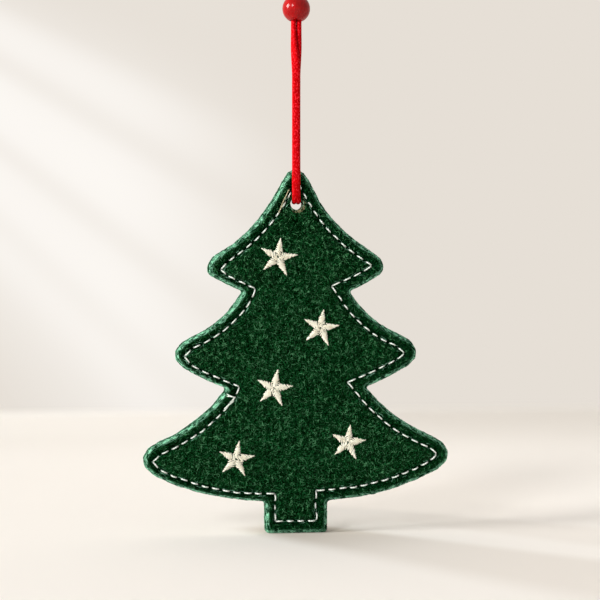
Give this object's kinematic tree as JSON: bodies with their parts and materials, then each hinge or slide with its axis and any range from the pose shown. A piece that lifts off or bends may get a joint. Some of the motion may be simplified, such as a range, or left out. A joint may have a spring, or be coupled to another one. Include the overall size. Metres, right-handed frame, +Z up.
{
  "type": "felt christmas ornament",
  "caption": "Flat two-layer felt christmas tree with an edge seam and embroidered stars, hung on a doubled cord through a hole, with a sliding round bead and a knotted loop.",
  "frame": {"origin": "where the loop hangs: inside the cord's eye, close under the knot", "axes": "+Z up along the hanging cord, +X to the right and -Y out of the front face with the stars"},
  "size_m": [0.1098, 0.0102, 0.2581],
  "materials": {
    "felt": "matt needled felt, dark green",
    "thread": "cream embroidery thread with a soft sheen",
    "cord": "bright red flat braided cord",
    "bead": "deep red gloss lacquer on turned wood"
  },
  "bodies": {
    "cord": {"hanging_cord": "cord", "cord_knot": "cord"},
    "tree": {"felt_front": "felt", "felt_back": "felt", "seam_thread_front": "thread", "seam_thread_back": "thread", "star_1": "thread", "star_2": "thread", "star_3": "thread", "star_4": "thread", "star_5": "thread"},
    "bead": {"bead": "bead"}
  },
  "joints": [
    {"name": "tree_swing", "type": "hinge", "parent": "cord", "child": "tree", "pos_m": [0, 0, -0.1203], "axis": [0, 1, 0], "range_deg": [-90, 90]},
    {"name": "bead_slide", "type": "slide", "parent": "cord", "child": "bead", "axis": [0, 0, 1], "range_m": [-0.035, 0.004]}
  ]
}
